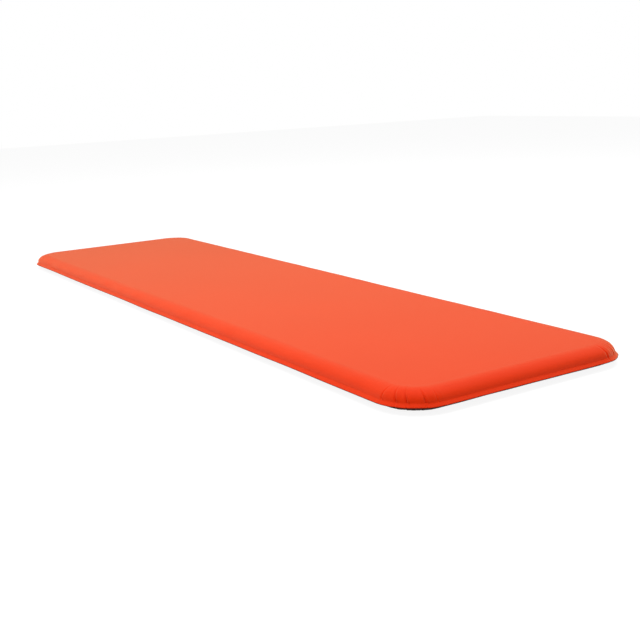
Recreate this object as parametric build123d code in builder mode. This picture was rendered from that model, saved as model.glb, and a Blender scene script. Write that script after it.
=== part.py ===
"""Self-inflating sleeping pad: two coated fabric sheets welded round a foam slab, with two flat valves.

The origin is the middle of the underside, +X runs along the pad and +Z up. Millimetres.
"""

from build123d import *
import math
import os

os.makedirs("parts", exist_ok=True)

# Pad
length = 1830.0
width = 510.0
thickness = 38.0
corner_radius = 80.0
skin = 0.4
glue_line = 0.05

# Welded edge, measured inwards from the outline
weld_width = 6.0
weld_root_height = 18.7
weld_tip_height = 13.0
upper_shoulder = 32.0
lower_shoulder = 34.0
edge_band = 60.0

# Valves, on the underside near the -X end; radii from the valve's own axis
valve_from_end = 120.0
valve_spacing = 250.0
recess_radius = 20.0
ring_width = 5.0
throat_radius = 15.0
collar_wall = 2.0
weld_ring_width = 8.0
weld_ring_thickness = 0.8
fabric_hole_gap = 0.5
face_inset = 0.3
ring_depth = 2.4
ledge_thickness = 1.2
pocket_gap = 1.0
pocket_headroom = 1.8

# Lid
lid_inset = 0.5
lid_thickness = 1.8
lid_gap = 0.3
plug_height = 2.7
plug_gap = 0.1
plug_taper = 0.4
plug_wall = 1.9
tab_width = 9.0
tab_reach = 3.8
tab_thickness = 1.0
scoop_margin = 2.5
scoop_depth = 2.0
scoop_wall = 0.4
cut_overrun = 2.0  # how far a cut or tab runs into the round recess or lid beside it
tab_rounding = 1.0

# Lid strap, a living hinge
strap_width = 10.0
strap_thickness = 0.6
strap_fit = 0.05
strap_bond = 2.7
strap_anchor_wall = 0.4

# Lid seal
seal_thickness = 0.9
seal_gap = 0.3
seal_fit = 0.05
seal_edge_gap = 1.2

# Foam guard screen
screen_thickness = 0.8
screen_fit = 0.1
screen_hole = 1.2
screen_pitch = 4.4
screen_rim = 2.2
screen_recess = 0.2

# Check flap and its bridge, in the inflation valve only
bridge_gap = 2.2
bridge_thickness = 1.2
spoke_width = 2.0
spoke_root = 0.5
spoke_count = 3
flap_margin = 3.0
flap_overlap = 1.0
flap_travel = 9.8
flap_thickness = 0.5
flap_fit = 0.05
flap_tail = 1.0
groove_depth = 0.6
groove_margin = 0.6
groove_length = 10.8
retainer_width = 2.3
retainer_end_gap = 0.15244
retainer_thickness = 0.9
retainer_fit = 0.1
post_inset = 0.8
post_radius = 1.1
pin_radius = 0.7
pin_hole_gap = 0.05

# Sizes that follow from those above
core_gap = skin + glue_line
ring_radius = recess_radius + ring_width
weld_ring_radius = ring_radius + weld_ring_width
shoulder_top = weld_width + upper_shoulder
shoulder_foot = weld_width + lower_shoulder
weld_ring_height = core_gap + weld_ring_thickness
lid_top = lid_inset + lid_thickness
ledge_height = lid_top + seal_thickness + 2 * seal_fit
bridge_height = lid_top + plug_height + bridge_gap
collar_height = bridge_height + bridge_thickness + flap_travel
flap_radius = throat_radius - flap_margin
bridge_opening = flap_radius - flap_overlap
flap_height = bridge_height + bridge_thickness + flap_fit
flap_axis = flap_radius - flap_tail
post_x = flap_axis + retainer_width / 2
retainer_reach = throat_radius - retainer_end_gap
retainer_half_length = math.sqrt(retainer_reach**2 - (flap_axis + retainer_width) ** 2)
post_offset = retainer_half_length - post_inset
screen_height = collar_height - screen_recess - screen_thickness
valve_x = -length / 2 + valve_from_end
valves = {"inflate": (valve_x, valve_spacing / 2), "deflate": (valve_x, -valve_spacing / 2)}


def save(solid, name):
    solid.label = name
    export_step(solid, f"parts/{name}.step")


# ---------------------------------------------------------------- pad
with BuildSketch() as outline:
    RectangleRounded(length, width, corner_radius)
edge_path = outline.face().outer_wire()
inward = (Vector(0, 0, 1).cross(edge_path % 0)).normalized()
edge_plane = Plane(origin=edge_path @ 0, x_dir=inward, z_dir=inward.cross(Vector(0, 0, 1)))


def middle_slab(low, high):
    """The flat middle of a layer, inside the swept edge band."""
    with BuildPart() as slab:
        with BuildSketch(Plane.XY.offset(low)):
            RectangleRounded(length - 2 * edge_band, width - 2 * edge_band, corner_radius - edge_band)
        extrude(amount=high - low)
    return slab.part


with BuildPart() as top_fabric:
    with BuildSketch(edge_plane):
        with BuildLine():
            Polyline(
                (shoulder_top, thickness - skin),
                (edge_band, thickness - skin),
                (edge_band, thickness),
                (shoulder_top, thickness),
            )
            EllipticalCenterArc(
                (shoulder_top, weld_root_height + skin),
                upper_shoulder,
                thickness - weld_root_height - skin,
                start_angle=90,
                arc_size=90,
            )
            Polyline(
                (weld_width, weld_root_height + skin),
                (0, weld_tip_height + skin),
                (0, weld_tip_height),
                (weld_width, weld_root_height),
                (weld_width + skin, weld_root_height),
            )
            EllipticalCenterArc(
                (shoulder_top, weld_root_height),
                upper_shoulder - skin,
                thickness - skin - weld_root_height,
                start_angle=90,
                arc_size=90,
            )
        make_face()
    sweep(path=edge_path)
    add(middle_slab(thickness - skin, thickness))

with BuildPart() as bottom_fabric:
    with BuildSketch(edge_plane):
        with BuildLine():
            Polyline((shoulder_foot, skin), (edge_band, skin), (edge_band, 0), (shoulder_foot, 0))
            EllipticalCenterArc(
                (shoulder_foot, weld_root_height - skin),
                lower_shoulder,
                weld_root_height - skin,
                start_angle=180,
                arc_size=90,
            )
            Polyline(
                (weld_width, weld_root_height - skin),
                (0, weld_tip_height - skin),
                (0, weld_tip_height),
                (weld_width, weld_root_height),
                (weld_width + skin, weld_root_height),
            )
            EllipticalCenterArc(
                (shoulder_foot, weld_root_height),
                lower_shoulder - skin,
                weld_root_height - skin,
                start_angle=180,
                arc_size=90,
            )
        make_face()
    sweep(path=edge_path)
    add(middle_slab(0, skin))
    with BuildSketch(Plane.XY):
        with Locations(*valves.values()):
            Circle(ring_radius + fabric_hole_gap)
    extrude(amount=skin, mode=Mode.SUBTRACT)

with BuildPart() as foam_core:
    with BuildSketch(edge_plane):
        with BuildLine():
            Polyline(
                (shoulder_top, thickness - core_gap),
                (edge_band, thickness - core_gap),
                (edge_band, core_gap),
                (shoulder_foot, core_gap),
            )
            EllipticalCenterArc(
                (shoulder_top, weld_root_height),
                upper_shoulder - core_gap,
                thickness - core_gap - weld_root_height,
                start_angle=90,
                arc_size=90,
            )
            EllipticalCenterArc(
                (shoulder_foot, weld_root_height),
                lower_shoulder - core_gap,
                weld_root_height - core_gap,
                start_angle=180,
                arc_size=90,
            )
        make_face()
    sweep(path=edge_path)
    add(middle_slab(core_gap, thickness - core_gap))
    # A stepped pocket over each valve, wide for the weld ring and narrower round the collar.
    with BuildSketch(Plane.XY.offset(core_gap)):
        with Locations(*valves.values()):
            Circle(weld_ring_radius + pocket_gap)
    extrude(amount=weld_ring_height + pocket_gap - core_gap, mode=Mode.SUBTRACT)
    with BuildSketch(Plane.XY.offset(core_gap)):
        with Locations(*valves.values()):
            Circle(ring_radius + pocket_gap)
    extrude(amount=collar_height + pocket_headroom - core_gap, mode=Mode.SUBTRACT)

save(top_fabric.part, "top_fabric")
save(bottom_fabric.part, "bottom_fabric")
save(foam_core.part, "foam_core")


# ---------------------------------------------------------------- valves
def valve_body(x, y, with_bridge):
    """Weld ring, lid recess, ledge and collar in one moulding; the inflation valve has a flap bridge."""
    with BuildPart() as body:
        with BuildSketch(Plane(origin=(x, y, 0), x_dir=(1, 0, 0), z_dir=(0, -1, 0))):
            with BuildLine():
                Polyline(
                    (recess_radius, face_inset),
                    (ring_radius, face_inset),
                    (ring_radius, core_gap),
                    (weld_ring_radius, core_gap),
                    (weld_ring_radius, weld_ring_height),
                    (ring_radius, weld_ring_height),
                    (ring_radius, ring_depth),
                    (recess_radius + collar_wall, ring_depth),
                    (recess_radius + collar_wall, ledge_height + ledge_thickness),
                    (throat_radius + collar_wall, ledge_height + ledge_thickness),
                    (throat_radius + collar_wall, collar_height),
                    (throat_radius, collar_height),
                    (throat_radius, ledge_height),
                    (recess_radius, ledge_height),
                    close=True,
                )
            make_face()
        revolve(axis=Axis((x, y, 0), (0, 0, 1)))
        # Notch for the strap on the +X side, and a fingertip scoop under the lid's tab on the -X side.
        notch_end = ring_radius - strap_anchor_wall
        with BuildSketch(Plane.XY.offset(face_inset)):
            with Locations((x + (recess_radius + notch_end - cut_overrun) / 2, y)):
                Rectangle(notch_end - recess_radius + cut_overrun, strap_width + 2 * strap_fit)
        extrude(amount=lid_inset + strap_thickness + strap_fit - face_inset, mode=Mode.SUBTRACT)
        scoop_end = ring_radius - scoop_wall
        with BuildSketch(Plane.XY.offset(face_inset)):
            with Locations((x - (recess_radius + scoop_end - cut_overrun) / 2, y)):
                Rectangle(scoop_end - recess_radius + cut_overrun, tab_width + 2 * scoop_margin)
        extrude(amount=scoop_depth - face_inset, mode=Mode.SUBTRACT)
        if with_bridge:
            with BuildSketch(Plane.XY.offset(bridge_height)):
                with Locations((x, y)):
                    Circle(throat_radius)
                    Circle(bridge_opening, mode=Mode.SUBTRACT)
                    for turn in range(spoke_count):
                        Rectangle(2 * (bridge_opening + spoke_root), spoke_width, rotation=turn * 180 / spoke_count)
            extrude(amount=bridge_thickness)
            bridge_top = Plane.XY.offset(bridge_height + bridge_thickness)
            with BuildSketch(bridge_top):
                with Locations((x + flap_radius + groove_margin - flap_tail, y)):
                    Rectangle(2 * flap_tail, groove_length)
            extrude(amount=-groove_depth, mode=Mode.SUBTRACT)
            with BuildSketch(bridge_top):
                with Locations((x + post_x, y - post_offset), (x + post_x, y + post_offset)):
                    Circle(pin_radius + pin_hole_gap)
            extrude(amount=-bridge_thickness, mode=Mode.SUBTRACT)
    return body.part


def valve_lid(x, y):
    """A flush disc with a tapered hollow plug, a pull tab and a seat for the strap."""
    lid_radius = recess_radius - lid_gap
    plug_radius = throat_radius - plug_gap
    with BuildPart() as lid:
        with BuildSketch(Plane(origin=(x, y, 0), x_dir=(1, 0, 0), z_dir=(0, -1, 0))):
            with BuildLine():
                Polyline(
                    (0, lid_inset),
                    (lid_radius, lid_inset),
                    (lid_radius, lid_top),
                    (plug_radius, lid_top),
                    (plug_radius - plug_taper, lid_top + plug_height),
                    (plug_radius - plug_wall, lid_top + plug_height),
                    (plug_radius - plug_wall, lid_top),
                    (0, lid_top),
                    close=True,
                )
            make_face()
        revolve(axis=Axis((x, y, 0), (0, 0, 1)))
        with BuildSketch(Plane.XY.offset(lid_inset)):
            with Locations((x - recess_radius - (tab_reach - cut_overrun) / 2, y)):
                RectangleRounded(tab_reach + cut_overrun, tab_width, tab_rounding)
        extrude(amount=tab_thickness)
        seat_start = lid_radius - strap_bond
        with BuildSketch(Plane.XY.offset(lid_inset)):
            with Locations((x + seat_start + recess_radius / 2, y)):
                Rectangle(recess_radius, strap_width + 2 * strap_fit)
        extrude(amount=strap_thickness + strap_fit, mode=Mode.SUBTRACT)
    return lid.part


def lid_strap(x, y):
    """A thin living hinge from its seat in the lid to its anchor in the ring."""
    start = recess_radius - lid_gap - strap_bond + strap_fit
    end = ring_radius - strap_anchor_wall - strap_fit
    with BuildPart() as strap:
        with BuildSketch(Plane.XY.offset(lid_inset)):
            with Locations((x + (start + end) / 2, y)):
                Rectangle(end - start, strap_width)
        extrude(amount=strap_thickness)
    return strap.part


def lid_seal(x, y):
    """A flat ring between the lid and the ledge, round the plug."""
    inner = throat_radius + seal_gap
    with BuildPart() as seal:
        with BuildSketch(Plane.XY.offset(lid_top + seal_fit)):
            with Locations((x, y)):
                Circle(recess_radius - seal_edge_gap)
                Circle(inner, mode=Mode.SUBTRACT)
        extrude(amount=seal_thickness)
    return seal.part


def foam_guard(x, y):
    """A perforated disc in the collar's end that keeps foam out of the throat."""
    radius = throat_radius - screen_fit
    rows = int(2 * radius / screen_pitch) + 1
    with BuildPart() as guard:
        with BuildSketch(Plane.XY.offset(screen_height)):
            with Locations((x, y)):
                Circle(radius)
            grid = GridLocations(screen_pitch, screen_pitch, rows, rows)
            spots = [p.position for p in grid if p.position.length < radius - screen_rim]
            with Locations(*[(x + p.X, y + p.Y) for p in spots]):
                Circle(screen_hole, mode=Mode.SUBTRACT)
        extrude(amount=screen_thickness)
    return guard.part


def check_flap(x, y):
    """A silicone disc over the bridge, hinged at its +X edge, that lets air in but not out."""
    with BuildPart() as flap:
        with BuildSketch(Plane.XY.offset(flap_height)):
            with Locations((x, y)):
                Circle(flap_radius)
        extrude(amount=flap_thickness)
    return flap.part


def flap_retainer(x, y):
    """A bar over the flap's tail, on two feet with pins in the bridge."""
    bar_height = flap_height + flap_thickness + retainer_fit
    bridge_top = bridge_height + bridge_thickness
    posts = ((x + post_x, y - post_offset), (x + post_x, y + post_offset))
    with BuildPart() as retainer:
        with BuildSketch(Plane.XY.offset(bar_height)):
            with Locations((x + post_x, y)):
                Rectangle(retainer_width, 2 * retainer_half_length)
        extrude(amount=retainer_thickness)
        with BuildSketch(Plane.XY.offset(bridge_top)):
            with Locations(*posts):
                Circle(post_radius)
        extrude(amount=bar_height - bridge_top)
        with BuildSketch(Plane.XY.offset(bridge_height)):
            with Locations(*posts):
                Circle(pin_radius)
        extrude(amount=bridge_thickness)
    return retainer.part


for valve, (x, y) in valves.items():
    save(valve_body(x, y, valve == "inflate"), f"{valve}_valve_body")
    save(valve_lid(x, y), f"{valve}_valve_lid")
    save(lid_strap(x, y), f"{valve}_lid_strap")
    save(lid_seal(x, y), f"{valve}_lid_seal")
    save(foam_guard(x, y), f"{valve}_foam_guard")

save(check_flap(*valves["inflate"]), "check_flap")
save(flap_retainer(*valves["inflate"]), "flap_retainer")
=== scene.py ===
"""A self-inflating sleeping pad: two welded coated fabric sheets over a foam slab, with two flush valves below."""

import math
import random

import bpy
import bmesh
from mathutils import Matrix, Vector, noise


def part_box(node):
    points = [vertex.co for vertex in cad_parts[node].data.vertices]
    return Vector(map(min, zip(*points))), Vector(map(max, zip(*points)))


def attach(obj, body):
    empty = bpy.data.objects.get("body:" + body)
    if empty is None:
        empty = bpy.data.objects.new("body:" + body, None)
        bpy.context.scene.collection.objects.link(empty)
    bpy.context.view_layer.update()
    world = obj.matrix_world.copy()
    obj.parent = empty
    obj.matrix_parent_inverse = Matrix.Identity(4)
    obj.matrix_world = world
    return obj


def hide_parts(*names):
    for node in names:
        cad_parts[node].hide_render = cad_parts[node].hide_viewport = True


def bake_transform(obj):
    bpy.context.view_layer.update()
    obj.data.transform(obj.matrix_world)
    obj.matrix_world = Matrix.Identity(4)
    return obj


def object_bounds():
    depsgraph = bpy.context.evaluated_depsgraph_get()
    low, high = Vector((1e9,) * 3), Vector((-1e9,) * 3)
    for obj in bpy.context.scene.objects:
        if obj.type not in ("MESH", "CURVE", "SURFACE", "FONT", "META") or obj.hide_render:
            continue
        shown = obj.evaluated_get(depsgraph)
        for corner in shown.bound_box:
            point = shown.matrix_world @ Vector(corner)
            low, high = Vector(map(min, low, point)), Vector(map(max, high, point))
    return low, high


bl_info = {
    "name": "Self-inflating sleeping pad",
    "version": (1, 0, 0),
    "blender": (4, 5, 0),
    "location": "View3D > Sidebar > Sleeping Pad",
    "description": "Builds a sleeping pad's covers, foam, valve details and studio",
    "category": "Object",
}

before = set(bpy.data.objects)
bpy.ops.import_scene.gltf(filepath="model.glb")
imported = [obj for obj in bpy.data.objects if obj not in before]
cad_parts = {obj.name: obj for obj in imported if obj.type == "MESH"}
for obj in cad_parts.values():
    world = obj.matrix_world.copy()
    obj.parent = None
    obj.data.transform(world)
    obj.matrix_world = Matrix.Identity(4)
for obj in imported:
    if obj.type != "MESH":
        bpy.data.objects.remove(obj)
cad_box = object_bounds()

VALVES = ("inflate", "deflate")
OVERALL_LOW, OVERALL_HIGH = (Vector(corner) for corner in cad_box)
LENGTH = OVERALL_HIGH.x - OVERALL_LOW.x
WIDTH = OVERALL_HIGH.y - OVERALL_LOW.y
THICKNESS = OVERALL_HIGH.z
MM = 0.001


# ------------------------------------------------------------------ settings
class PadSettings(bpy.types.PropertyGroup):
    """Sizes of the two covers and the foam."""

    corner_radius: bpy.props.FloatProperty(
        name="Corner radius", description="Radius of the pad's corners in plan",
        default=0.080, unit="LENGTH")
    skin: bpy.props.FloatProperty(
        name="Skin", description="Thickness of one coated sheet", default=0.0004, unit="LENGTH")
    weld_width: bpy.props.FloatProperty(
        name="Weld width", description="Width of the welded edge", default=0.006, unit="LENGTH")
    weld_root: bpy.props.FloatProperty(
        name="Weld root height", description="Height where the two sheets part",
        default=0.0187, unit="LENGTH")
    weld_tip: bpy.props.FloatProperty(
        name="Weld tip height", description="Height of the weld's cut edge", default=0.0130, unit="LENGTH")
    upper_shoulder: bpy.props.FloatProperty(
        name="Upper shoulder", description="How far in the top sheet's shoulder reaches",
        default=0.032, unit="LENGTH")
    lower_shoulder: bpy.props.FloatProperty(
        name="Lower shoulder", description="How far in the bottom sheet's shoulder reaches",
        default=0.034, unit="LENGTH")
    cell: bpy.props.FloatProperty(
        name="Mesh cell", description="Spacing of the cover's mesh on its straight sides",
        default=0.009, unit="LENGTH")
    corner_steps: bpy.props.IntProperty(
        name="Corner steps", description="Mesh steps round each corner", default=96)
    pleat_depth: bpy.props.FloatProperty(
        name="Pleat depth", description="Depth of the tucks at the corners", default=0.0042, unit="LENGTH")
    ripple: bpy.props.FloatProperty(
        name="Ripple", description="Height of the small ripples along the sides",
        default=0.0007, unit="LENGTH")


class FinishSettings(bpy.types.PropertyGroup):
    """Colours, as sRGB hex values."""

    top_cloth: bpy.props.StringProperty(
        name="Top cloth", description="Orange face cloth", default="#EC3204")
    # Dark underside cloth: partly the cloth's own dark colour, partly painted shade, its warm red-brown standing
    # in for the shade along the pad's lower edge.
    base_cloth: bpy.props.StringProperty(
        name="Base cloth", description="Dark underside cloth", default="#45241D")
    foam: bpy.props.StringProperty(
        name="Foam", description="Open-cell polyurethane", default="#E6DDBE")
    valve: bpy.props.StringProperty(
        name="Valve", description="Moulded valve rings and lids", default="#232427")
    guard: bpy.props.StringProperty(
        name="Guard", description="Natural grey moulding", default="#B4B4B0")
    silicone: bpy.props.StringProperty(
        name="Silicone", description="Check flap", default="#DCDCD6")


class StudioSettings(bpy.types.PropertyGroup):
    """Camera and lights."""

    azimuth: bpy.props.FloatProperty(
        name="Azimuth", description="Camera's turn about the pad", default=math.radians(57.47),
        subtype="ANGLE")
    elevation: bpy.props.FloatProperty(
        name="Elevation", description="Camera's height angle", default=math.radians(13.36),
        subtype="ANGLE")
    roll: bpy.props.FloatProperty(
        name="Roll", description="Camera's roll", default=math.radians(-2.35), subtype="ANGLE")
    distance: bpy.props.FloatProperty(
        name="Distance", description="Camera to the pad's middle", default=2.359, unit="LENGTH")
    shift_right: bpy.props.FloatProperty(
        name="Aim right", description="Camera's sideways offset", default=0.1555, unit="LENGTH")
    shift_up: bpy.props.FloatProperty(
        name="Aim up", description="Camera's upward offset", default=-0.0438, unit="LENGTH")
    focal_length: bpy.props.FloatProperty(
        name="Focal length", description="Lens, in millimetres", default=55.92)
    key_power: bpy.props.FloatProperty(
        name="Key power", description="Power of the overhead softbox", default=106.0, subtype="POWER")
    side_power: bpy.props.FloatProperty(
        name="Side power", description="Power of the softbox beside the pad", default=14.0,
        subtype="POWER")
    sky: bpy.props.FloatProperty(
        name="Sky", description="Strength of the surrounding light", default=0.3)


# ------------------------------------------------------------------ materials
def linear(hex_colour):
    """sRGB hex to linear RGBA."""
    channels = [int(hex_colour[i:i + 2], 16) / 255 for i in (1, 3, 5)]
    return [c / 12.92 if c <= 0.04045 else ((c + 0.055) / 1.055) ** 2.4 for c in channels] + [1.0]


def add_node(tree, kind, inputs=None, links=None, **settings):
    """Adds a node, sets its properties and inputs, and links other sockets to it."""
    node = tree.nodes.new(kind)
    for name, value in settings.items():
        setattr(node, name, value)
    for key, value in (inputs or {}).items():
        node.inputs[key].default_value = value
    for key, source in (links or {}).items():
        tree.links.new(source, node.inputs[key])
    return node


def new_material(name, **constants):
    """A material with one Principled shader; constants are set on its own sockets."""
    material = bpy.data.materials.new(name)
    material.use_nodes = True
    shader = material.node_tree.nodes["Principled BSDF"]
    for key, value in constants.items():
        shader.inputs[key.replace("_", " ")].default_value = value
    return material, material.node_tree, shader


def mottled(tree, coordinate, colour, scale, spread):
    """A base colour that drifts a little lighter and darker across the piece."""
    drift = add_node(tree, "ShaderNodeTexNoise", {"Scale": scale, "Detail": 3.0}, {"Vector": coordinate})
    ramp = add_node(tree, "ShaderNodeValToRGB", links={"Fac": drift.outputs["Fac"]})
    ramp.color_ramp.elements[0].position = 0.3
    ramp.color_ramp.elements[1].position = 0.7
    ramp.color_ramp.elements[0].color = [c * (1 - spread) for c in colour[:3]] + [1]
    ramp.color_ramp.elements[1].color = [min(1, c * (1 + spread)) for c in colour[:3]] + [1]
    return ramp.outputs["Color"]


def woven_polyester(name, hex_colour, roughness, spread, sheen):
    """Coated plain-weave polyester: soft and even, with a faint grid of threads under a thin satin film.

    Its threads are 0.25 mm apart, drawn at 0.8 mm so that they show up close.
    """
    material, tree, shader = new_material(name, Roughness=roughness, IOR=1.5, Specular_IOR_Level=0.06,
                                          Sheen_Weight=sheen, Sheen_Roughness=0.4,
                                          Sheen_Tint=(0.8, 0.72, 0.38, 1.0))
    place = add_node(tree, "ShaderNodeTexCoord").outputs["Object"]
    tree.links.new(mottled(tree, place, linear(hex_colour), 5.0, spread), shader.inputs["Base Color"])
    thread_scale = 2 * math.pi / (20 * 0.8 * MM)
    warp = add_node(tree, "ShaderNodeTexWave", {"Scale": thread_scale}, {"Vector": place},
                    bands_direction="X")
    weft = add_node(tree, "ShaderNodeTexWave", {"Scale": thread_scale}, {"Vector": place},
                    bands_direction="Y")
    weave = add_node(tree, "ShaderNodeMath", links={0: warp.outputs["Fac"], 1: weft.outputs["Fac"]},
                     operation="MULTIPLY")
    # The pressed weld has a fine slanted knurl, stronger than the weave.
    weld = add_node(tree, "ShaderNodeAttribute", attribute_name="weld").outputs["Fac"]
    knurl = add_node(tree, "ShaderNodeTexWave", {"Scale": 2 * math.pi / (20 * 2.2 * MM)},
                     {"Vector": place}, bands_direction="DIAGONAL")
    pressed = add_node(tree, "ShaderNodeMath", links={0: knurl.outputs["Fac"], 1: weld},
                       operation="MULTIPLY")
    height = add_node(tree, "ShaderNodeMath", {1: 2.0}, {0: pressed.outputs[0], 2: weave.outputs[0]},
                      operation="MULTIPLY_ADD")
    bump = add_node(tree, "ShaderNodeBump", {"Strength": 0.25, "Distance": 0.06 * MM},
                    {"Height": height.outputs[0]})
    tree.links.new(bump.outputs[0], shader.inputs["Normal"])
    return material


def moulded_plastic(name, hex_colour, roughness, grain=0.5):
    """Injection-moulded TPU or nylon: a fine spark-eroded grain that breaks up the gloss."""
    material, tree, shader = new_material(name, Roughness=roughness, IOR=1.5)
    place = add_node(tree, "ShaderNodeTexCoord").outputs["Object"]
    tree.links.new(mottled(tree, place, linear(hex_colour), 60.0, 0.06), shader.inputs["Base Color"])
    grit = add_node(tree, "ShaderNodeTexNoise", {"Scale": 1 / (grain * MM), "Detail": 2.0},
                    {"Vector": place})
    bump = add_node(tree, "ShaderNodeBump", {"Strength": 0.3, "Distance": 0.05 * MM},
                    {"Height": grit.outputs["Fac"]})
    tree.links.new(bump.outputs[0], shader.inputs["Normal"])
    return material


def open_cell_foam(name, hex_colour):
    """Open-cell polyurethane: matt, cream, with 1.5 mm cells that pit the surface."""
    material, tree, shader = new_material(name, Roughness=0.95, IOR=1.4)
    place = add_node(tree, "ShaderNodeTexCoord").outputs["Object"]
    tree.links.new(mottled(tree, place, linear(hex_colour), 20.0, 0.08), shader.inputs["Base Color"])
    cells = add_node(tree, "ShaderNodeTexVoronoi", {"Scale": 1 / (1.5 * MM)}, {"Vector": place})
    bump = add_node(tree, "ShaderNodeBump", {"Strength": 0.7, "Distance": 0.5 * MM},
                    {"Height": cells.outputs["Distance"]})
    tree.links.new(bump.outputs[0], shader.inputs["Normal"])
    return material


# ------------------------------------------------------------------ covers
class Outline:
    """Points round the pad's edge: a core point and an outward normal, so any inset is core + normal * r."""

    def __init__(self, pad):
        self.radius = pad.corner_radius
        half_x, half_y = LENGTH / 2 - self.radius, WIDTH / 2 - self.radius
        self.columns = round(2 * half_x / pad.cell)
        self.rows = round(2 * half_y / pad.cell)
        self.half_x, self.half_y = half_x, half_y
        self.core, self.normal, self.place = [], [], []
        corners = [(half_x, -half_y, -90), (half_x, half_y, 0), (-half_x, half_y, 90),
                   (-half_x, -half_y, 180)]
        steps = (self.rows, self.columns, self.rows, self.columns)
        for number, (x, y, start) in enumerate(corners):
            for step in range(pad.corner_steps):
                turn = math.radians(start + 90 * step / pad.corner_steps)
                self.core.append(Vector((x, y, 0)))
                self.normal.append(Vector((math.cos(turn), math.sin(turn), 0)))
                self.place.append((number, 90 * step / pad.corner_steps))
            end = corners[(number + 1) % 4]
            turn = math.radians(start + 90)
            for step in range(steps[number]):
                share = step / steps[number]
                self.core.append(Vector((x + (end[0] - x) * share, y + (end[1] - y) * share, 0)))
                self.normal.append(Vector((math.cos(turn), math.sin(turn), 0)))
                self.place.append((None, 0))
        self.count = len(self.core)


def pleats(pad):
    """The tucks at each corner: (corner, angle in degrees, half width in metres, share of the depth, lean)."""
    chosen = [(0, 5, 1.1, 0.4, 0.0), (0, 27, 1.5, 1.0, -8.0), (0, 41, 1.5, 1.0, -8.0),
              (0, 64, 1.9, 0.9, -8.0), (0, 78, 1.4, 0.3, -2.0)]
    dice = random.Random(7)
    for corner in (1, 2, 3):
        angle = dice.uniform(6, 14)
        while angle < 86:
            chosen.append((corner, angle, dice.uniform(1.4, 2.3), dice.uniform(0.4, 1.0),
                           dice.uniform(-3, 3)))
            angle += dice.uniform(12, 24)
    return [(c, a, w * MM, d * pad.pleat_depth, lean) for c, a, w, d, lean in chosen]


def tuck(outline, index, rise, folds):
    """How far the sheet is pulled in by the corner tucks at one point; rise is 0 at the weld, 1 on top."""
    corner, angle = outline.place[index]
    if corner is None or rise > 0.85:
        return 0.0
    fade = (1 - rise / 0.85) ** 0.8
    depth = 0.0
    for fold_corner, fold_angle, half_width, fold_depth, lean in folds:
        if fold_corner != corner:
            continue
        across = math.radians(angle - fold_angle - lean * rise) * outline.radius / half_width
        valley = math.exp(-across * across)
        lip = math.exp(-(across - 1.9) ** 2)
        depth += fold_depth * fade * (valley - 0.45 * lip)
    return depth


def ellipse(center, reach, height, steps, upward):
    """Points of a shoulder from the weld's root to the flat, as (inset, height)."""
    points = []
    for step in range(1, steps + 1):
        turn = math.pi / 2 * step / steps
        side = 1 if upward else -1
        points.append((center[0] - reach * math.cos(turn), center[1] + side * height * math.sin(turn)))
    return points


def cover_profile(pad, upward):
    """The sheet's outer face from the weld's tip to the flat, as (inset, height, share of the way up)."""
    side = 1 if upward else -1
    reach = pad.upper_shoulder if upward else pad.lower_shoulder
    flat = THICKNESS if upward else 0.0
    root = pad.weld_root + side * pad.skin
    tip = pad.weld_tip + side * pad.skin
    points = []
    weld_steps = 5
    for step in range(weld_steps + 1):
        share = step / weld_steps
        points.append((pad.weld_width * share, tip + (root - tip) * share, 0.0))
    shoulder = ellipse((pad.weld_width + reach, root), reach, abs(flat - root), 18, upward)
    for number, (inset, height) in enumerate(shoulder):
        points.append((inset, height, (number + 1) / len(shoulder)))
    last = pad.weld_width + reach
    for share in (0.25, 0.6, 1.0):
        points.append((last + (pad.corner_radius - last) * share, flat, 1.0))
    return points


def sway(index, outline, waves, seed):
    """A slow wave along the edge that closes on itself."""
    turn = 2 * math.pi * index / outline.count
    return sum(math.sin(turn * n + seed * n) for n in waves) / len(waves)


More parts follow.
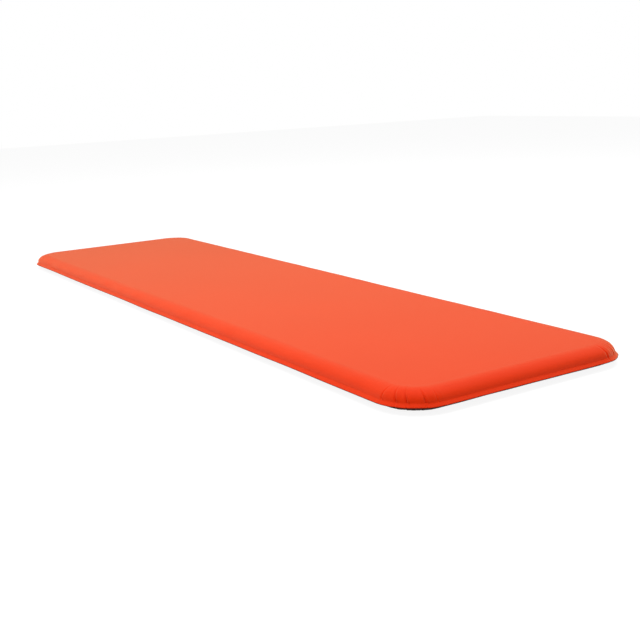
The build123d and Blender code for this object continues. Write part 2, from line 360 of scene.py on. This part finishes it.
def cover_mesh(name, pad, outline, folds, upward):
    """One sheet: rings from the weld's tip to the corner centres, and a grid across the flat middle."""
    side = 1 if upward else -1
    profile = cover_profile(pad, upward)
    mesh = bmesh.new()
    weld = mesh.verts.layers.float.new("weld")
    rings = []
    for inset, height, rise in profile:
        ring = []
        for index in range(outline.count):
            pull = tuck(outline, index, rise, folds)
            ripple = pad.ripple * math.sin(math.pi * rise) * (
                sway(index, outline, (31, 47, 68, 83), 1.3) + sway(index, outline, (9, 14), 0.4))
            edge = max(0.0, 1 - rise * 3)
            # The weld wanders a little in height and width along its length.
            inward = inset + 0.35 * MM * edge * (1 + sway(index, outline, (17, 23, 41), 2.1))
            inward += (pull if rise > 0 else pull * 0.25) - ripple
            point = outline.core[index] + outline.normal[index] * (outline.radius - max(inward, 0))
            point.z = height - (side * 0.35 * max(pull, 0) if rise > 0 else 0)
            point.z += 0.6 * MM * edge * sway(index, outline, (7, 11, 19, 29), 3.3)
            if upward and rise > 0.7:
                point.z -= top_dip(point.x, point.y) * (rise - 0.7) / 0.3
            vert = mesh.verts.new(point)
            vert[weld] = 1.0 if rise == 0 else 0.0
            ring.append(vert)
        rings.append(ring)
    for low, high in zip(rings, rings[1:]):
        for index in range(outline.count):
            after = (index + 1) % outline.count
            mesh.faces.new((low[index], low[after], high[after], high[index]))
    grid = [[mesh.verts.new((
        -outline.half_x + 2 * outline.half_x * i / outline.columns,
        -outline.half_y + 2 * outline.half_y * j / outline.rows, 0))
        for j in range(outline.rows + 1)] for i in range(outline.columns + 1)]
    for line in grid:
        for vert in line:
            vert.co.z = THICKNESS - top_dip(vert.co.x, vert.co.y) if upward else 0.0
    for i in range(outline.columns):
        for j in range(outline.rows):
            mesh.faces.new((grid[i][j], grid[i + 1][j], grid[i + 1][j + 1], grid[i][j + 1]))
    bmesh.ops.remove_doubles(mesh, verts=mesh.verts, dist=0.02 * MM)
    bmesh.ops.recalc_face_normals(mesh, faces=mesh.faces)
    middle = max(mesh.faces, key=lambda face: face.calc_center_median().z * side)
    if middle.normal.z * side < 0:
        bmesh.ops.reverse_faces(mesh, faces=mesh.faces)
    data = bpy.data.meshes.new(name)
    mesh.to_mesh(data)
    mesh.free()
    data.shade_smooth()
    return data


def top_dip(x, y):
    """The top sheet's faint hollows, where the foam holds it unevenly."""
    return 0.45 * MM * (1 + noise.noise(Vector((x * 3.5, y * 3.5, 0.3))))


def place_mesh(name, data, material):
    """An object at the origin that shows this mesh in this material."""
    piece = bpy.data.objects.new(name, data)
    bpy.context.scene.collection.objects.link(piece)
    data.materials.clear()
    data.materials.append(material)
    return piece


def apply_modifiers(piece):
    """Bakes a piece's modifiers into its mesh."""
    bpy.context.view_layer.update()
    graph = bpy.context.evaluated_depsgraph_get()
    data = bpy.data.meshes.new_from_object(piece.evaluated_get(graph))
    piece.modifiers.clear()
    piece.data = data


def thicken(piece, thickness):
    """Gives a sheet its thickness, inwards from its outer face."""
    wall = piece.modifiers.new("wall", "SOLIDIFY")
    wall.thickness = thickness
    wall.offset = -1
    apply_modifiers(piece)


def cut_rounds(piece, radius, low, high):
    """Cuts a round hole at each valve."""
    for valve in VALVES:
        low_corner, high_corner = (Vector(c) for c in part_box(f"{valve}_valve_body"))
        centre = (low_corner + high_corner) / 2
        mesh = bmesh.new()
        bmesh.ops.create_cone(mesh, cap_ends=True, segments=96, radius1=radius, radius2=radius,
                              depth=high - low,
                              matrix=Matrix.Translation((centre.x, centre.y, (high + low) / 2)))
        data = bpy.data.meshes.new("cutter")
        mesh.to_mesh(data)
        mesh.free()
        cutter = bpy.data.objects.new("cutter", data)
        bpy.context.scene.collection.objects.link(cutter)
        cut = piece.modifiers.new("hole", "BOOLEAN")
        cut.object = cutter
        cut.operation = "DIFFERENCE"
        cut.solver = "EXACT"
        apply_modifiers(piece)
        bpy.data.objects.remove(cutter)


class PAD_OT_covers(bpy.types.Operator):
    """Make the orange top sheet and the dark bottom sheet, welded at the edge; the bottom sheet's dark red-brown
    is partly painted shade
    """

    bl_idname = "pad.covers"
    bl_label = "Make covers"

    def execute(self, context):
        pad, finish = context.scene.pad, context.scene.pad_finish
        outline = Outline(pad)
        folds = pleats(pad)
        orange = woven_polyester("coated_polyester_orange", finish.top_cloth, 0.6, 0.012, 0.7)
        # The bottom sheet's dark red-brown is a dark cloth plus painted shade that stands in for the shaded lower
        # edge.
        dark_base_and_shade = woven_polyester("coated_polyester_dark_base_and_shade", finish.base_cloth, 0.7, 0.05, 0.0)

        top = place_mesh("top_sheet", cover_mesh("top_sheet", pad, outline, folds, True), orange)
        thicken(top, pad.skin)
        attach(top, "root")
        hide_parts("top_fabric")

        base = place_mesh("base_sheet", cover_mesh("base_sheet", pad, outline, folds, False), dark_base_and_shade)
        thicken(base, pad.skin)
        low, high = (Vector(c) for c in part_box("inflate_valve_body"))
        hole = (high.x - low.x) / 2 - 0.0075
        cut_rounds(base, hole, -0.002, 0.002)
        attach(base, "root")
        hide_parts("bottom_fabric")
        return {"FINISHED"}


class PAD_OT_foam(bpy.types.Operator):
    """Make the open-cell foam slab that fills the covers"""

    bl_idname = "pad.foam"
    bl_label = "Make foam slab"

    def execute(self, context):
        pad = context.scene.pad
        outline = Outline(pad)
        gap = pad.skin + 0.0012
        mesh = bmesh.new()
        rings = []
        upper = ellipse((pad.weld_width + pad.upper_shoulder, pad.weld_root), pad.upper_shoulder - gap,
                        THICKNESS - gap - pad.weld_root, 8, True)
        lower = ellipse((pad.weld_width + pad.lower_shoulder, pad.weld_root), pad.lower_shoulder - gap,
                        pad.weld_root - gap, 8, False)
        profile = list(reversed(lower)) + [(pad.weld_width + gap + 0.002, pad.weld_root)] + upper
        steps = range(0, outline.count, 2)
        for inset, height in profile:
            rings.append([mesh.verts.new(
                outline.core[i] + outline.normal[i] * (outline.radius - inset - 0.002)
                + Vector((0, 0, height))) for i in steps])
        for low, high in zip(rings, rings[1:]):
            for index in range(len(low)):
                after = (index + 1) % len(low)
                mesh.faces.new((low[index], low[after], high[after], high[index]))
        mesh.faces.new(rings[0])
        mesh.faces.new(rings[-1])
        bmesh.ops.recalc_face_normals(mesh, faces=mesh.faces)
        data = bpy.data.meshes.new("foam_slab")
        mesh.to_mesh(data)
        mesh.free()
        foam = place_mesh("foam_slab", data, open_cell_foam("polyurethane_foam", context.scene.pad_finish.foam))
        low, high = (Vector(c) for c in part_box("inflate_valve_body"))
        cut_rounds(foam, (high.x - low.x) / 2 + 0.001, -0.002, high.z + 0.0018)
        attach(foam, "root")
        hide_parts("foam_core")
        return {"FINISHED"}


# ------------------------------------------------------------------ valves
class PAD_OT_valve_finish(bpy.types.Operator):
    """Give the moulded valve parts their finishes"""

    bl_idname = "pad.valve_finish"
    bl_label = "Finish valves"

    def execute(self, context):
        finish = context.scene.pad_finish
        ring = moulded_plastic("tpu_moulded_black", finish.valve, 0.42)
        lid = moulded_plastic("tpu_moulded_lid", finish.valve, 0.36)
        rubber = moulded_plastic("tpu_soft_seal", finish.valve, 0.6, grain=0.3)
        guard = moulded_plastic("nylon_moulded_grey", finish.guard, 0.5)
        silicone = moulded_plastic("silicone_membrane", finish.silicone, 0.35, grain=1.0)
        finishes = {"flap_retainer": guard, "check_flap": silicone}
        for valve in VALVES:
            finishes[f"{valve}_valve_body"] = ring
            finishes[f"{valve}_valve_lid"] = lid
            finishes[f"{valve}_lid_seal"] = rubber
            finishes[f"{valve}_foam_guard"] = guard
        for name, material in finishes.items():
            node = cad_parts[name]
            for mesh_slot in node.material_slots:
                mesh_slot.material = material
        return {"FINISHED"}


class PAD_OT_straps(bpy.types.Operator):
    """Make the thin straps that hinge the lids"""

    bl_idname = "pad.straps"
    bl_label = "Make lid straps"

    def execute(self, context):
        material = moulded_plastic("tpu_strap", context.scene.pad_finish.valve, 0.5, grain=0.3)
        for valve in VALVES:
            low, high = (Vector(c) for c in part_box(f"{valve}_lid_strap"))
            size = high - low
            mesh = bmesh.new()
            columns, rounding = 28, 0.12 * MM
            section = [(-1, -1), (-1, 1), (1, 1), (1, -1)]
            rings = []
            for column in range(columns + 1):
                share = column / columns
                # The strap thins over its middle third, where it folds.
                waist = 1 - 0.45 * math.exp(-((share - 0.62) / 0.14) ** 2)
                middle = Vector((low.x + size.x * share, (low.y + high.y) / 2, (low.z + high.z) / 2))
                rings.append([mesh.verts.new(middle + Vector((
                    0, side * size.y / 2, up * size.z / 2 * waist))) for side, up in section])
            for first, second in zip(rings, rings[1:]):
                for index in range(4):
                    after = (index + 1) % 4
                    mesh.faces.new((first[index], first[after], second[after], second[index]))
            mesh.faces.new(rings[0])
            mesh.faces.new(rings[-1])
            bmesh.ops.recalc_face_normals(mesh, faces=mesh.faces)
            long_edges = [e for e in mesh.edges if abs(e.verts[0].co.x - e.verts[1].co.x) > 1e-6]
            bmesh.ops.bevel(mesh, geom=long_edges, offset=rounding, segments=2, affect="EDGES")
            data = bpy.data.meshes.new(f"{valve}_strap")
            mesh.to_mesh(data)
            mesh.free()
            strap = place_mesh(f"{valve}_strap", data, material)
            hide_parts(f"{valve}_lid_strap")
            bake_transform(strap)
        return {"FINISHED"}


def rib_tree(count, radius, material):
    """Short radial ribs instanced round a circle."""
    tree = bpy.data.node_groups.new("lid_ribs", "GeometryNodeTree")
    tree.interface.new_socket("Count", in_out="INPUT", socket_type="NodeSocketInt").default_value = count
    tree.interface.new_socket("Radius", in_out="INPUT", socket_type="NodeSocketFloat").default_value = radius
    tree.interface.new_socket("Geometry", in_out="OUTPUT", socket_type="NodeSocketGeometry")
    inputs = add_node(tree, "NodeGroupInput")
    circle = add_node(tree, "GeometryNodeMeshCircle",
                      links={"Vertices": inputs.outputs["Count"], "Radius": inputs.outputs["Radius"]})
    rib = add_node(tree, "GeometryNodeMeshCube", {"Size": (3.2 * MM, 0.7 * MM, 0.24 * MM)})
    where = add_node(tree, "GeometryNodeInputPosition")
    turn = add_node(tree, "FunctionNodeAlignEulerToVector", links={"Vector": where.outputs[0]}, axis="X")
    ribs = add_node(tree, "GeometryNodeInstanceOnPoints",
                    links={"Points": circle.outputs[0], "Instance": rib.outputs[0],
                           "Rotation": turn.outputs[0]})
    real = add_node(tree, "GeometryNodeRealizeInstances", links={0: ribs.outputs[0]})
    coloured = add_node(tree, "GeometryNodeSetMaterial", {"Material": material}, {0: real.outputs[0]})
    add_node(tree, "NodeGroupOutput", links={0: coloured.outputs[0]})
    return tree


class PAD_OT_lid_ribs(bpy.types.Operator):
    """Make the ring of grip ribs on each lid's face"""

    bl_idname = "pad.lid_ribs"
    bl_label = "Make lid ribs"

    def execute(self, context):
        material = moulded_plastic("tpu_lid_ribs", context.scene.pad_finish.valve, 0.4)
        for valve in VALVES:
            low, high = (Vector(c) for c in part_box(f"{valve}_lid_seal"))
            centre = (low + high) / 2
            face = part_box(f"{valve}_valve_lid")[0][2]
            tree = rib_tree(40, 12.0 * MM, material)
            piece = place_mesh(f"{valve}_lid_ribs", bpy.data.meshes.new("ribs"), material)
            grower = piece.modifiers.new("ribs", "NODES")
            grower.node_group = tree
            for item in tree.interface.items_tree:
                if item.in_out == "INPUT":
                    grower[item.identifier] = item.default_value
            apply_modifiers(piece)
            piece.data.transform(Matrix.Translation((centre.x, centre.y, face - 0.1 * MM)))
            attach(piece, f"{valve}_lid")
        return {"FINISHED"}


# ------------------------------------------------------------------ stage
def white_stage_material():
    """Matt white paper. To the camera it is pale with a soft shadow, and from below it is clear."""
    material = bpy.data.materials.new("studio_paper")
    material.use_nodes = True
    tree = material.node_tree
    tree.nodes.clear()
    path = add_node(tree, "ShaderNodeLightPath")
    seen = add_node(tree, "ShaderNodeMath", links={0: path.outputs["Is Camera Ray"],
                                                   1: path.outputs["Is Glossy Ray"]}, operation="MAXIMUM")
    paper = add_node(tree, "ShaderNodeBsdfDiffuse", {"Color": (0.8, 0.8, 0.8, 1)})
    faint = add_node(tree, "ShaderNodeBsdfDiffuse", {"Color": (0.2, 0.2, 0.2, 1)})
    glow = add_node(tree, "ShaderNodeEmission", {"Color": (1, 1, 1, 1), "Strength": 0.9})
    bright = add_node(tree, "ShaderNodeAddShader", links={0: faint.outputs[0], 1: glow.outputs[0]})
    front = add_node(tree, "ShaderNodeMixShader",
                     links={0: seen.outputs[0], 1: paper.outputs[0], 2: bright.outputs[0]})
    clear = add_node(tree, "ShaderNodeBsdfTransparent")
    side = add_node(tree, "ShaderNodeNewGeometry")
    both = add_node(tree, "ShaderNodeMixShader",
                    links={0: side.outputs["Backfacing"], 1: front.outputs[0], 2: clear.outputs[0]})
    add_node(tree, "ShaderNodeOutputMaterial", links={0: both.outputs[0]})
    return material


class PAD_OT_stage(bpy.types.Operator):
    """Set the camera, the softbox, the surrounding light and the paper floor"""

    bl_idname = "pad.stage"
    bl_label = "Set stage"

    def execute(self, context):
        studio = context.scene.pad_studio
        back = Vector((math.sin(studio.azimuth) * math.cos(studio.elevation),
                       -math.cos(studio.azimuth) * math.cos(studio.elevation),
                       math.sin(studio.elevation)))
        level = Vector((math.cos(studio.azimuth), math.sin(studio.azimuth), 0))
        upright = back.cross(level)
        right = math.cos(studio.roll) * level + math.sin(studio.roll) * upright
        up = math.cos(studio.roll) * upright - math.sin(studio.roll) * level
        place = back * studio.distance + right * studio.shift_right + up * studio.shift_up
        lens = bpy.data.cameras.new("camera")
        lens.lens = studio.focal_length
        lens.sensor_width = 36
        lens.clip_end = 50
        camera = bpy.data.objects.new("camera", lens)
        camera.matrix_world = Matrix.Translation(place) @ Matrix((right, up, back)).transposed().to_4x4()
        context.scene.collection.objects.link(camera)
        context.scene.camera = camera

        softboxes = (("overhead", (5.0, 3.0), studio.key_power, Vector((0.25, 0.1, 2.6))),
                     ("side", (2.6, 1.0), studio.side_power, Vector((-1.3, -2.1, 0.8))))
        for name, size, power, spot in softboxes:
            box = bpy.data.lights.new(name, "AREA")
            box.shape = "RECTANGLE"
            box.size, box.size_y = size
            box.energy = power
            lamp = bpy.data.objects.new(name, box)
            lamp.matrix_world = (Matrix.Translation(spot)
                                 @ spot.to_track_quat("Z", "Y").to_matrix().to_4x4())
            context.scene.collection.objects.link(lamp)

        world = bpy.data.worlds.new("studio")
        world.use_nodes = True
        tree = world.node_tree
        tree.nodes.clear()
        path = add_node(tree, "ShaderNodeLightPath")
        seen = add_node(tree, "ShaderNodeMath", links={0: path.outputs["Is Camera Ray"],
                                                       1: path.outputs["Is Transmission Ray"]},
                        operation="MAXIMUM")
        lit = add_node(tree, "ShaderNodeBackground", {"Color": (1, 1, 1, 1), "Strength": studio.sky})
        white = add_node(tree, "ShaderNodeBackground", {"Color": (1, 1, 1, 1), "Strength": 1.0})
        mix = add_node(tree, "ShaderNodeMixShader",
                       links={0: seen.outputs[0], 1: lit.outputs[0], 2: white.outputs[0]})
        add_node(tree, "ShaderNodeOutputWorld", links={0: mix.outputs[0]})
        context.scene.world = world
        context.scene.view_settings.view_transform = "Standard"

        mesh = bmesh.new()
        bmesh.ops.create_grid(mesh, x_segments=1, y_segments=1, size=8)
        data = bpy.data.meshes.new("floor")
        mesh.to_mesh(data)
        mesh.free()
        floor = place_mesh("floor", data, white_stage_material())
        floor.data.transform(Matrix.Translation((0, 0, -0.0004)))
        return {"FINISHED"}


class PAD_PT_panel(bpy.types.Panel):
    """Lists the pad's pieces"""

    bl_label = "Sleeping Pad"
    bl_idname = "PAD_PT_panel"
    bl_space_type = "VIEW_3D"
    bl_region_type = "UI"
    bl_category = "Sleeping Pad"

    def draw(self, context):
        for operator in OPERATORS:
            self.layout.operator(operator.bl_idname)


OPERATORS = (PAD_OT_stage, PAD_OT_covers, PAD_OT_foam, PAD_OT_valve_finish, PAD_OT_straps, PAD_OT_lid_ribs)
CLASSES = (PadSettings, FinishSettings, StudioSettings) + OPERATORS + (PAD_PT_panel,)


def register():
    for item in CLASSES:
        bpy.utils.register_class(item)
    bpy.types.Scene.pad = bpy.props.PointerProperty(type=PadSettings)
    bpy.types.Scene.pad_finish = bpy.props.PointerProperty(type=FinishSettings)
    bpy.types.Scene.pad_studio = bpy.props.PointerProperty(type=StudioSettings)


def unregister():
    del bpy.types.Scene.pad_studio
    del bpy.types.Scene.pad_finish
    del bpy.types.Scene.pad
    for item in reversed(CLASSES):
        bpy.utils.unregister_class(item)


def main():
    register()
    bpy.ops.pad.stage()
    bpy.ops.pad.covers()
    bpy.ops.pad.foam()
    bpy.ops.pad.valve_finish()
    bpy.ops.pad.straps()
    bpy.ops.pad.lid_ribs()


if __name__ == "__main__":
    main()
